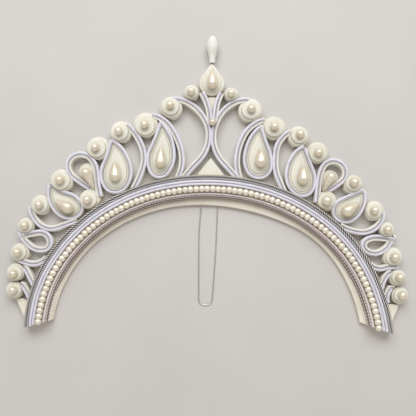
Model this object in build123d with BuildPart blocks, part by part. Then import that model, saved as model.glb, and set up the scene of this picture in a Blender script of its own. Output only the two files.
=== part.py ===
from math import cos, sin, radians, hypot, pi
import os

from build123d import *

# Mukut crown of shola pith, lying on its back: the back is the plane z = 0,
# the crest points to +Y and the face of the crown looks up.  Millimetres.

# ---------------------------------------------------------------- main sizes
BASE_T = 3.0            # thickness of the cream base plate
BAND_TOP = 8.0          # top of the raised band
BAND_OUT = 9.8          # outer edge of the band, from the pearl row
BAND_IN = 4.6           # inner edge of the band's top, from the pearl row
BAND_FOOT = 5.5         # foot of the band's sloping inner side
RIB_T = 0.8             # ribbed trim on that slope

STRIP_H = 7.0           # height of the shola strips, stood on edge
STRIP_W = 4.4           # their thickness
RING_W = 2.9            # thickness of the rings round the teardrops
DRUM_H = 6.5            # lower turn of a coil
COIL_TOP = 9.0          # upper turn of a coil
COIL_STEP = 0.78        # radius of the upper turn over the lower
PAD_H = 5.0             # teardrop pad, lower step
PAD_TOP = 6.8           # teardrop pad, upper step
PAD_STEP = 1.8          # width of that step

SEED_R = 1.9            # seed pearl on the band
SEED_AT = -0.5          # their thread, from the band's middle line
SEED_COUNT = 86
SEED_FROM, SEED_TO = 8.08, 337.68    # first and last pearl along the band
THREAD_R = 0.5
SILVER_R, SILVER_AT = 0.72, (7.05, 8.95)
LAVENDER_R, LAVENDER_AT = 0.92, (3.22, 5.12)
INNER_R, INNER_AT = 0.62, -3.85

WIRE_R, WIRE_Z = 0.4, 0.5
GROOVE_W, GROOVE_H = 1.8, 1.1
GAP = 0.05              # glue line between pieces

# ------------------------------------------------------------------- tables
# A strip's middle line starts at (x, y) with a heading in degrees and runs on
# as tangent arcs.  An arc is (radius, turn), left turns positive; a straight
# run is (0, length).
# strip, side, x, y, heading, arcs
STRIPS = (
    ("crest", "L", -8.3, 63.8, 311.6, ((32.6, -22.1), (42.1, -15.5),)),
    ("crest", "R", 11.0, 63.9, 231.3, ((28.6, 30.0), (102.5, 4.4),)),
    ("rib", "L", -27.4, 55.4, 4.2, ((22.9, -36.3), (30.2, -28.9), (24.5, -36.5), (27.0, -37.2), (90.3, 10.6),)),
    ("rib", "R", 28.7, 55.3, 172.1, ((19.2, 42.9), (28.0, 34.4), (28.9, 31.6), (25.6, 31.4), (0, 17.8),)),
    ("inarch", "L", -39.9, 43.4, 347.1, ((20.5, -40.5), (51.2, -19.5), (29.6, -44.1),)),
    ("inarch", "R", 37.9, 40.9, 199.0, ((23.5, 43.7), (41.8, 21.7), (35.0, 28.4),)),
    ("outarch", "L", -58.7, 36.4, 319.3, ((40.6, -12.9), (42.3, -12.7), (23.5, -37.8), (64.3, -15.7),)),
    ("outarch", "R", 57.5, 32.8, 208.2, ((18.6, 51.7), (48.8, 13.7), (25.2, 18.2), (176.4, 3.9),)),
    ("tear1", "L", -34.4, 39.1, 256.1, ((100.3, -11.6), (19.1, 51.7), (7.1, 115.6), (20.5, 37.1), (32.9, 25.2), (34.7, 21.4),)),
    ("tear1", "R", 37.8, 37.0, 211.4, ((21.6, 27.7), (36.1, 26.6), (16.0, 39.2), (8.7, 138.0), (25.6, 29.7), (106.7, -9.8),)),
    ("tear2", "L", -69.3, 25.0, 334.9, ((22.5, -31.1), (34.3, -18.5), (17.8, -52.3), (9.0, -112.6), (17.2, -54.3), (61.9, 16.2),)),
    ("tear2", "R", 67.7, 22.7, 205.1, ((20.0, 31.8), (25.9, 32.1), (15.6, 55.2), (8.0, 100.3), (16.4, 47.6), (198.1, -5.0),)),
    ("tear3", "L", -111.8, -6.7, 254.0, ((20.4, 33.6), (19.3, 36.5), (13.0, 46.8), (7.2, 116.1), (15.9, 39.4), (26.8, -31.9),)),
    ("tear3", "R", 109.4, -8.0, 296.2, ((11.4, -30.3), (20.7, -46.2), (10.3, -56.1), (7.5, -89.2), (9.3, -49.8), (567.0, -1.8),)),
    ("bigloop", "L", -83.7, -9.3, 149.1, ((136.2, -5.9), (10.4, -43.3), (8.0, -63.7), (9.4, -85.0), (18.3, -36.8), (77.9, 12.0),)),
    ("bigloop", "R", 84.9, -8.4, 30.6, ((71.8, 9.0), (7.7, 66.5), (8.5, 74.6), (8.5, 64.7), (29.6, 16.4), (197.0, 4.9),)),
    ("scroll8", "L", -124.7, -24.0, 280.7, ((19.4, 36.3), (13.5, 66.0), (161.7, -4.8),)),
    ("scroll8", "R", 122.7, -23.5, 274.7, ((12.0, -42.5), (15.4, -57.2), (32.5, -26.2),)),
    ("loop9", "L", -131.2, -41.7, 295.8, ((25.0, 26.7), (12.4, 46.1), (5.1, 88.1), (7.2, 84.1), (13.6, 10.2), (111.3, 6.0),)),
    ("loop9", "R", 130.7, -43.4, 163.0, ((46.0, 15.0), (15.2, 24.4), (6.8, 16.9), (4.3, 101.8), (9.1, 46.2), (12.2, 50.1),)),
    ("tail10", "L", -132.3, -59.6, 331.3, ((33.6, 14.3), (12.2, 65.4),)),
    ("tail10", "R", 132.2, -61.7, 171.9, ((19.8, 25.8), (9.6, -64.8),)),
    ("tail11", "L", -126.6, -66.0, 298.8, ((0, 17.0),)),
    ("tail11", "R", 127.0, -65.7, 220.1, ((16.2, 46.6),)),
    ("tail12", "L", -128.3, -77.6, 312.1, ((31.1, -25.2),)),
    ("tail12", "R", 128.0, -76.1, 223.9, ((10.7, 62.0),)),
)

# The band's middle line, under the pearl row, and the inner edge of the base.
BAND = (-115.7, -110.3, 92.1, ((85.1, -35.5), (110.8, -22.2), (118.2, -23.2), (148.4, -18.9), (122.3, -32.6), (97.5, -22.6), (111.3, -23.3),))
LEDGE = (-107.1, -101.9, 82.9, ((88.6, -46.9), (111.6, -35.2), (156.2, -25.1), (76.1, -30.6), (101.1, -25.7),))

# the lines that the band's two ends are cut off along, outer point first
BAND_ENDS = (
    ((-124.2, -106.2), (-105.9, -100.9)),
    ((125.8, -106.6), (106.1, -100.0)),
)

# coil, side, x, y, drum radius, pearl dx, pearl dy, pearl radius
COILS = (
    (0, "L", -13.0, 60.6, 5.6, -0.1, -0.8, 2.8),
    (0, "R", 15.7, 59.5, 5.3, -0.3, -0.4, 2.7),
    (1, "L", -27.2, 49.4, 7.9, -0.6, 0.4, 2.6),
    (1, "R", 29.1, 48.3, 8.5, 0.6, -0.1, 2.7),
    (2, "L", -45.2, 36.7, 9.0, -0.3, -1.1, 2.7),
    (2, "R", 46.4, 35.5, 8.5, -0.4, -0.0, 2.7),
    (3, "L", -62.6, 31.4, 7.7, -1.0, -0.7, 2.7),
    (3, "R", 63.5, 29.6, 7.4, 0.7, 0.8, 2.7),
    (4, "L", -78.3, 19.3, 8.3, -1.5, -0.5, 2.7),
    (4, "R", 77.4, 18.2, 7.8, -0.3, -0.8, 2.7),
    (5, "L", -83.5, -17.0, 7.3, -0.6, -1.3, 2.9),
    (5, "R", 83.7, -16.0, 7.3, -1.1, -0.6, 3.3),
    (6, "L", -103.8, -4.4, 8.3, 0.0, -0.1, 2.9),
    (6, "R", 102.5, -4.7, 7.0, -0.7, 1.4, 2.9),
    (8, "L", -118.3, -21.7, 7.0, 0.7, -0.5, 2.6),
    (8, "R", 117.5, -22.7, 7.0, -1.7, -0.1, 2.7),
    (9, "L", -127.6, -36.7, 5.9, 0.5, 0.1, 2.6),
    (9, "R", 125.8, -35.9, 5.5, -1.1, -0.2, 2.6),
    (10, "L", -131.0, -55.3, 6.6, -0.2, 0.1, 2.7),
    (10, "R", 129.7, -55.1, 7.0, -0.3, 0.1, 2.9),
    (11, "L", -133.7, -68.9, 6.3, 0.3, -1.0, 2.6),
    (11, "R", 132.7, -69.4, 5.9, -0.0, 0.6, 2.7),
    (12, "L", -134.1, -81.4, 6.1, 1.0, 0.2, 2.6),
    (12, "R", 134.2, -81.4, 6.0, -0.0, 0.4, 2.7),
)

# drop pearl, side, fat x, fat y, fat radius, length, heading of the tip
DROPS = (
    ("tear1", "L", -33.8, 9.1, 3.8, 15.1, 90),
    ("tear1", "R", 36.8, 10.5, 4.0, 14.1, 88),
    ("tear2", "L", -65.5, -0.9, 4.0, 14.4, 94),
    ("tear2", "R", 66.6, -1.4, 4.0, 14.3, 89),
    ("tear3", "L", -97.7, -23.8, 4.1, 14.5, 152),
    ("tear3", "R", 97.3, -23.2, 4.1, 14.2, 35),
    ("loop", "L", -86.0, 1.0, 3.4, 15.2, 298),
    ("loop", "R", 86.2, 0.6, 3.2, 14.0, 242),
    ("apex", "C", 1.9, 66.3, 3.8, 14.9, 91),
)

# pad, side, fat x, fat y, fat radius, tip x, tip y, tip radius
PADS = (
    ("apex", "C", 1.5, 67.7, 9.2, 1.4, 81.4, 1.4),
    ("loop", "L", -85.8, 2.6, 5.7, -81.6, -9.2, 2.6),
    ("loop", "R", 85.9, 0.0, 5.7, 83.1, -8.4, 2.6),
)

# strip of each scroll, coil that it rolls into
SCROLLS = (
    ("centre_ribs", "rib", 1),
    ("inner_teardrops", "tear1", None),
    ("outer_teardrops", "tear2", 4),
    ("side_teardrops", "tear3", 6),
    ("inner_arches", "inarch", 2),
    ("outer_arches", "outarch", 3),
    ("crest_scrolls", "crest", 0),
    ("large_loops", "bigloop", 5),
    ("wave_scrolls", "scroll8", 8),
    ("small_loops", "loop9", 9),
    ("upper_tails", "tail10", 10),
    ("lower_tails", "tail11", 11),
    ("lower_tails", "tail12", 12),
)

# centre line of the finial: y, radius
FINIAL_X, FINIAL_Z = 1.6, 4.6
FINIAL = (
    (82.9, 2.1),
    (85.3, 2.2),
    (89.0, 2.8),
    (92.0, 3.7),
    (95.0, 4.1),
    (98.0, 3.8),
    (100.2, 3.1),
    (101.9, 2.0),
)
FINIAL_TIP = 103.1

ORIGIN = (0.0, 2.2, 0.0)    # puts the middle of the crown at x = y = 0

CENTRE_PEARL = (2.3, 38.6, 2.2)
CREST_FILL = ((-4.7, 57.4), (8.2, 57.6), (4.1, 46.1), (0.1, 46.1))
GUSSET = ((1.5, 13.7), (-10.0, -0.8), (12.9, -0.6))
TAB_L = ((-132.8, -88.1), (-129.4, -87.0), (-123.7, -89.1), (-125.2, -103.2))
TAB_R = ((134.2, -87.9), (126.0, -87.6), (126.0, -98.0), (128.2, -101.5))

# hairpin: x, y, bend radius
WIRE = (
    (0.6, 16.5, 0),
    (-3.9, -8.5, 60),
    (-6.3, -39.0, 150),
    (-5.7, -90.3, 4.2),
    (3.6, -90.6, 4.2),
    (5.8, -55.0, 200),
    (6.9, -20.0, 80),
    (2.6, 16.5, 0),
)


# --------------------------------------------------------------- plan curves
def segments(x, y, heading, arcs, side=0.0):
    """Start, middle and end of each arc of a path, moved to its left by side."""
    out, h = [], radians(heading)
    for radius, turn in arcs:
        if radius == 0:
            nx, ny = -sin(h) * side, cos(h) * side
            ex, ey = x + turn * cos(h), y + turn * sin(h)
            out.append(((x + nx, y + ny), None, (ex + nx, ey + ny)))
            x, y = ex, ey
            continue
        s = 1 if turn > 0 else -1
        cx, cy = x - s * radius * sin(h), y + s * radius * cos(h)
        r = radius - s * side
        marks = []
        for part in (0, 0.5, 1):
            a = h + radians(turn) * part
            marks.append((cx + s * r * sin(a), cy - s * r * cos(a)))
        out.append(tuple(marks))
        h += radians(turn)
        x, y = cx + s * radius * sin(h), cy - s * radius * cos(h)
    return out


def draw(start, middle, end):
    if middle is None:
        Line(start, end)
    else:
        ThreePointArc(start, middle, end)


def length_of(arcs):
    return sum(b if a == 0 else a * radians(abs(b)) for a, b in arcs)


def point_at(x, y, heading, arcs, s, side=0.0):
    """Point and heading at the length s along a path."""
    for radius, turn in arcs:
        run = turn if radius == 0 else radius * radians(abs(turn))
        last = (radius, turn) == arcs[-1]
        if s <= run or last:
            if radius == 0:
                part = (0, s)
            else:
                part = (radius, turn * s / run)
            end = segments(x, y, heading, (part,), side)[0][2]
            return end, heading + (0 if radius == 0 else part[1])
        (x, y), heading = segments(x, y, heading, ((radius, turn),))[0][2], heading + (
            0 if radius == 0 else turn
        )
        s -= run


def ribbon(path, left, right, mode=Mode.ADD):
    """Faces between the parallels of a path, inside a sketch."""
    for (a0, am, a1), (b0, bm, b1) in zip(segments(*path, left), segments(*path, -right)):
        with BuildLine() as edge:
            draw(a0, am, a1)
            Line(a1, b1)
            draw(b0, bm, b1)
            Line(b0, a0)
        make_face(edge.edges(), mode=mode)


def inside(path, trim=1.5):
    """The face that a closed strip goes round, cut short where its ends cross."""
    first, last = path[3][0], path[3][-1]
    (x, y), heading = point_at(*path, trim)
    first = (first[0], first[1] * (1 - trim / length_of((first,))))
    last = (last[0], last[1] * (1 - trim / length_of((last,))))
    runs = segments(x, y, heading, (first, *path[3][1:-1], last))
    with BuildLine() as edge:
        for run in runs:
            draw(*run)
        Line(runs[-1][2], runs[0][0])
    make_face(edge.edges())


def disc(x, y, r, mode=Mode.ADD):
    with Locations((x, y)):
        Circle(r, mode=mode)


def teardrop(x, y, r, tx, ty, tr, mode=Mode.ADD):
    with BuildSketch(mode=Mode.PRIVATE) as drop:
        disc(x, y, r)
        disc(tx, ty, tr)
        make_hull()
    add(drop.sketch, mode=mode)


# ------------------------------------------------------- lookups in the tables
def strip(name, side):
    return next(row[2:] for row in STRIPS if row[:2] == (name, side))


def coil(number, side):
    return next(row[2:] for row in COILS if row[:2] == (number, side))


def pad(name, side):
    return next(row[2:] for row in PADS if row[:2] == (name, side))


def scroll_plan(row, side, grow=0.0, mode=Mode.ADD):
    """Plan of one strip and its coil, in a sketch."""
    half = (RING_W if row[1].startswith("tear") else STRIP_W) / 2 + grow
    ribbon(strip(row[1], side), half, half, mode)
    if row[2] is not None:
        x, y, r = coil(row[2], side)[:3]
        disc(x, y, r + grow, mode)


def band_plan(grow=0.0, mode=Mode.ADD):
    ribbon(BAND, BAND_OUT + grow, BAND_IN, mode)


def cut_ends():
    """Cut the two ends of a piece of the band off."""
    with BuildSketch(Plane.XY.offset(-1)) as ends:
        for (x0, y0), (x1, y1) in BAND_ENDS:
            run = hypot(x1 - x0, y1 - y0)
            ux, uy = (x1 - x0) / run, (y1 - y0) / run
            a, b = (x0 - 9 * ux, y0 - 9 * uy), (x1 + 6 * ux, y1 + 6 * uy)
            with BuildLine():
                Polyline(a, b, (b[0], b[1] - 25), (a[0], a[1] - 25), close=True)
            make_face()
    extrude(ends.sketch, amount=20, mode=Mode.SUBTRACT)


def done(part, label):
    part = Pos(*ORIGIN) * part
    part.label = label
    export_step(part, f"parts/{label}.step")
    print(f"{label:20s} {len(part.solids()):3d} solid  {part.volume:10.1f} mm3")


os.makedirs("parts", exist_ok=True)

# -------------------------------------------------------------- the crown band
with BuildPart() as base_plate:
    outer = segments(*BAND, BAND_OUT)
    inner = segments(*LEDGE)
    with BuildSketch():
        with BuildLine():
            for run in outer:
                draw(*run)
            Line(outer[-1][2], inner[-1][2])
            for run in inner:
                draw(*run)
            Line(inner[0][0], outer[0][0])
        make_face()
    extrude(amount=BASE_T)
    # shallow grooves in the back, where the hairpin's legs are laid
    with BuildSketch():
        for first, second in ((2, 1), (1, 0), (5, 6), (6, 7)):
            x0, y0 = WIRE[first][:2]
            x1, y1 = WIRE[second][:2]
            run = hypot(x1 - x0, y1 - y0)
            ux, uy = (x1 - x0) / run, (y1 - y0) / run
            w = GROOVE_W / 2
            a0, a1 = (x0 - ux, y0 - uy), (x1 + ux, y1 + uy)
            with BuildLine():
                Polyline(
                    (a0[0] - uy * w, a0[1] + ux * w),
                    (a1[0] - uy * w, a1[1] + ux * w),
                    (a1[0] + uy * w, a1[1] - ux * w),
                    (a0[0] + uy * w, a0[1] - ux * w),
                    close=True,
                )
            make_face()
    extrude(amount=GROOVE_H, mode=Mode.SUBTRACT)
    cut_ends()
done(base_plate.part, "base_plate")


def along(path, side, profile):
    """Sweep a closed profile of (offset to the left, z) points along a path."""
    with BuildLine() as rail:
        for run in segments(*path, side):
            draw(*run)
    start, h = segments(*path, side)[0][0], radians(path[2])
    with BuildSketch(
        Plane(origin=(*start, 0), x_dir=(-sin(h), cos(h), 0), z_dir=(-cos(h), -sin(h), 0))
    ) as section:
        profile()
    sweep(sections=section.sketch, path=rail.wire())


# Plane used above: its x runs to the path's left and its y runs down, so the
# profiles are drawn with z negated.
def polygon(*points):
    def shape():
        with BuildLine() as edge:
            Polyline(*[(a, -z) for a, z in points], close=True)
        make_face(edge.edges())

    return shape


def cord(side, z, r):
    def shape():
        with Locations((side, -z)):
            Circle(r)

    return shape


with BuildPart() as band_core:
    z0 = BASE_T + GAP
    along(
        BAND,
        0,
        polygon((BAND_OUT, z0), (BAND_OUT, BAND_TOP), (-BAND_IN, BAND_TOP), (-BAND_FOOT, z0)),
    )
    cut_ends()
done(band_core.part, "band_core")

with BuildPart() as ribbed_trim:
    fall = hypot(BAND_FOOT - BAND_IN, BAND_TOP - z0)
    nx, nz = -(BAND_TOP - z0) / fall, (BAND_FOOT - BAND_IN) / fall
    top, foot = (-BAND_IN, BAND_TOP), (-BAND_FOOT, z0)
    g, t = GAP, GAP + RIB_T
    along(
        BAND,
        0,
        polygon(
            (top[0] + nx * g, top[1] + nz * g),
            (top[0] + nx * t, top[1] + nz * t),
            (foot[0] + nx * t, foot[1] + nz * t),
            (foot[0] + nx * g, foot[1] + nz * g),
        ),
    )
    cut_ends()
done(ribbed_trim.part, "ribbed_trim")

with BuildPart() as silver_cords:
    for side in SILVER_AT:
        along(BAND, 0, cord(side, BAND_TOP + GAP + SILVER_R, SILVER_R))
    cut_ends()
done(silver_cords.part, "silver_cords")

with BuildPart() as lavender_cords:
    for side in LAVENDER_AT:
        along(BAND, 0, cord(side, BAND_TOP + GAP + LAVENDER_R, LAVENDER_R))
    along(BAND, 0, cord(INNER_AT, BAND_TOP + GAP + INNER_R, INNER_R))
    cut_ends()
done(lavender_cords.part, "lavender_cords")

# the pearl row is threaded: the beads sit side by side on their thread
pitch = (SEED_TO - SEED_FROM) / (SEED_COUNT - 1)
with BuildPart() as seed_pearls:
    z = BAND_TOP + GAP + SEED_R
    along(BAND, 0, cord(SEED_AT, z, THREAD_R))
    for i in range(SEED_COUNT):
        (x, y), heading = point_at(*BAND, SEED_FROM + i * pitch, SEED_AT)
        across = (-sin(radians(heading)), cos(radians(heading)), 0)
        with Locations(Plane(origin=(x, y, z), x_dir=(0, 0, 1), z_dir=across)):
            Sphere(SEED_R)
    cut_ends()
done(seed_pearls.part, "seed_pearls")

# ------------------------------------------------------------------ the crest
with BuildPart() as apex_pad:
    x, y, r, tx, ty, tr = pad("apex", "C")
    with BuildSketch():
        teardrop(x, y, r, tx, ty, tr)
    extrude(amount=PAD_H)
    with BuildSketch(Plane.XY.offset(PAD_H)):
        teardrop(x, y, r - PAD_STEP, tx, ty - 3.2, tr)
    extrude(amount=PAD_TOP - PAD_H)
done(apex_pad.part, "apex_pad")


def crest_plan(grow, mode=Mode.SUBTRACT):
    x, y, r, tx, ty, tr = pad("apex", "C")
    teardrop(x, y, r + grow, tx, ty, tr + grow, mode)


with BuildPart() as finial:
    with BuildSketch(Plane.XY.offset(FINIAL_Z)):
        with BuildLine():
            Line((FINIAL_X, FINIAL[0][0]), (FINIAL_X + FINIAL[0][1], FINIAL[0][0]))
            Spline(
                *[(FINIAL_X + r, y) for y, r in FINIAL],
                (FINIAL_X, FINIAL_TIP),
                tangents=((0.15, 1), (-1, 0)),
            )
            Line((FINIAL_X, FINIAL_TIP), (FINIAL_X, FINIAL[0][0]))
        make_face()
    revolve(axis=Axis((FINIAL_X, 0, FINIAL_Z), (0, 1, 0)))
done(finial.part, "finial")

# ---------------------------------------------- scrolls, in pairs left and right
made = []       # plans already taken, so a later strip is cut back to them
nodes = {}
for row in SCROLLS:
    nodes.setdefault(row[0], []).append(row)

for label, rows in nodes.items():
    with BuildPart() as scroll:
        for row in rows:
            for side in "LR":
                with BuildSketch(mode=Mode.PRIVATE) as plan:
                    scroll_plan(row, side)
                    band_plan(GAP, Mode.SUBTRACT)
                    crest_plan(GAP)
                    for other in made:
                        scroll_plan(other, side, GAP, Mode.SUBTRACT)
                    if row[1] in ("crest", "rib") and side == "R":
                        for other in made + [row]:
                            scroll_plan(other, "L", GAP, Mode.SUBTRACT)
                    for other in SCROLLS:
                        if other[2] is not None and other != row and other not in made:
                            x, y, r = coil(other[2], side)[:3]
                            disc(x, y, r + GAP, Mode.SUBTRACT)
                with BuildSketch():
                    add(plan.sketch.faces().sort_by(SortBy.AREA)[-1])
                extrude(amount=STRIP_H)
                if row[2] is not None:
                    x, y, r = coil(row[2], side)[:3]
                    with BuildSketch(Plane.XY.offset(DRUM_H)):
                        disc(x, y, r * COIL_STEP)
                    extrude(amount=COIL_TOP - DRUM_H)
            made.append(row)
    done(scroll.part, label)

# pads inside the teardrop rings and in the large loops
with BuildPart() as teardrop_pads:
    for name in ("tear1", "tear2", "tear3"):
        for side in "LR":
            path = strip(name, side)
            for z, grow, top in ((0, GAP, PAD_H), (PAD_H, PAD_STEP, PAD_TOP)):
                with BuildSketch(Plane.XY.offset(z)):
                    inside(path)
                    half = RING_W / 2 + grow
                    ribbon(path, half, half, Mode.SUBTRACT)
                    for other in SCROLLS:
                        if other[2] is not None:
                            x, y, r = coil(other[2], side)[:3]
                            disc(x, y, r + GAP, Mode.SUBTRACT)
                extrude(amount=top - z)
done(teardrop_pads.part, "teardrop_pads")

with BuildPart() as loop_pads:
    for side in "LR":
        x, y, r, tx, ty, tr = pad("loop", side)
        for z, shrink, top in ((0, 0, PAD_H), (PAD_H, 1.2, PAD_TOP)):
            with BuildSketch(Plane.XY.offset(z)):
                teardrop(x, y, r - shrink, tx, ty, tr - shrink / 2)
                for other in SCROLLS:
                    scroll_plan(other, side, GAP, Mode.SUBTRACT)
            extrude(amount=top - z)
done(loop_pads.part, "loop_pads")

# cream fills: below the waist on the band, and under the crest's teardrop
with BuildPart() as gusset:
    with BuildSketch():
        with BuildLine():
            Polyline(*CREST_FILL, close=True)
        make_face()
        crest_plan(GAP)
        for row in SCROLLS:
            if row[0] in ("crest_scrolls", "centre_ribs"):
                for side in "LR":
                    scroll_plan(row, side, GAP, Mode.SUBTRACT)
    extrude(amount=5.0)
    with BuildSketch(Plane.XY.offset(1.3)):
        with BuildLine():
            Polyline(*GUSSET, close=True)
        make_face()
        band_plan(GAP, Mode.SUBTRACT)
        for side in "LR":
            scroll_plan(SCROLLS[0], side, GAP, Mode.SUBTRACT)
    extrude(amount=3.2)
done(gusset.part, "gusset")

with BuildPart() as side_tabs:
    with BuildSketch():
        for corners in (TAB_L, TAB_R):
            with BuildLine():
                Polyline(*corners, close=True)
            make_face()
        band_plan(GAP, Mode.SUBTRACT)
        for other in SCROLLS:
            for side in "LR":
                if other[0] in ("upper_tails", "lower_tails"):
                    scroll_plan(other, side, GAP, Mode.SUBTRACT)
    extrude(amount=4.0)
done(side_tabs.part, "side_tabs")


# --------------------------------------------------------------------- pearls
def bead(x, y, r, seat, label):
    """Round pearl with a small flat, glued on its seat."""
    with BuildPart() as pearl:
        centre = seat + GAP + 0.72 * r
        with Locations((x, y, centre)):
            Sphere(r)
        split(bisect_by=Plane.XY.offset(seat + GAP), keep=Keep.TOP)
    done(pearl.part, label)


def drop(x, y, r, length, heading, seat, label):
    """Pear-shaped pearl lying on its side, tip a little down."""
    centre, dip = seat + GAP + 0.62 * r, radians(5)
    h = radians(heading)
    axis = (cos(h) * cos(dip), sin(h) * cos(dip), -sin(dip))
    lean = radians(80)
    start, tip = (r * cos(lean), r * sin(lean)), 0.9
    rim = [(length - r - tip + tip * cos(a), tip * sin(a)) for a in (radians(35), radians(18))]
    with BuildPart() as pearl:
        with BuildSketch(Plane(origin=(x, y, centre), x_dir=axis, z_dir=(-sin(h), cos(h), 0))):
            with BuildLine():
                ThreePointArc((-r, 0), (r * cos(radians(130)), r * sin(radians(130))), start)
                TangentArc(start, rim[0], tangent=(sin(lean), -cos(lean)))
                ThreePointArc(rim[0], rim[1], (length - r, 0))
                Line((length - r, 0), (-r, 0))
            make_face()
        revolve(axis=Axis((x, y, centre), axis))
        split(bisect_by=Plane.XY.offset(seat + GAP), keep=Keep.TOP)
    done(pearl.part, label)


SIDES = {"L": "left", "R": "right"}
for number, side, x, y, r, dx, dy, pr in COILS:
    bead(x + dx, y + dy, pr, COIL_TOP, f"coil_pearl_{number:02d}_{SIDES[side]}")

NAMES = {"tear1": "inner", "tear2": "outer", "tear3": "side", "loop": "loop"}
for name, side, x, y, r, length, heading in DROPS:
    label = "drop_pearl_apex" if side == "C" else f"drop_pearl_{NAMES[name]}_{SIDES[side]}"
    drop(x, y, r, length, heading, PAD_TOP, label)

bead(*CENTRE_PEARL, STRIP_H, "centre_pearl")

# -------------------------------------------------------------------- hairpin
with BuildPart() as wire_pin:
    with BuildLine() as leg_line:
        FilletPolyline(
            *[(x, y, WIRE_Z) for x, y, _ in WIRE], radius=[r for _, _, r in WIRE[1:-1]]
        )
    tangent = leg_line.wire() % 0
    with BuildSketch(Plane(origin=leg_line.wire() @ 0, z_dir=tangent)):
        Circle(WIRE_R)
    sweep(path=leg_line.wire())
done(wire_pin.part, "wire_pin")
print("pearl pitch", round(pitch, 3), " band length", round(length_of(BAND[3]), 1))
print("wire length", round(leg_line.wire().length, 1))
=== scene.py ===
import math
import random
from math import cos, hypot, pi, radians, sin

import bmesh
import bpy
import numpy as np
from mathutils import Matrix, Vector, noise


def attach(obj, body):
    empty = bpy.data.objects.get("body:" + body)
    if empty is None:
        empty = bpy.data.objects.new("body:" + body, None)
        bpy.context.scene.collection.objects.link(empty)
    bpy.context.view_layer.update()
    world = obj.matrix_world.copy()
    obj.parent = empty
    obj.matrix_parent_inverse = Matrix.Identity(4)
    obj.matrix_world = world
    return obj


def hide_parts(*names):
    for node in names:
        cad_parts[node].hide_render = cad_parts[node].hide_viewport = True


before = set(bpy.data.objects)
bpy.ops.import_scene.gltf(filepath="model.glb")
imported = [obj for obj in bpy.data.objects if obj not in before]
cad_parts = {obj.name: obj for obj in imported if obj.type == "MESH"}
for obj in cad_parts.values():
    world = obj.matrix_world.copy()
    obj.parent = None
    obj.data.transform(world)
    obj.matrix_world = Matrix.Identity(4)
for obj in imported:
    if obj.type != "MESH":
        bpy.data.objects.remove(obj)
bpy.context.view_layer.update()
random.seed(7)
MM = 0.001
SHIFT = 2.2    # the drawing's y = 0 lies this far above the crown's middle

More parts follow.
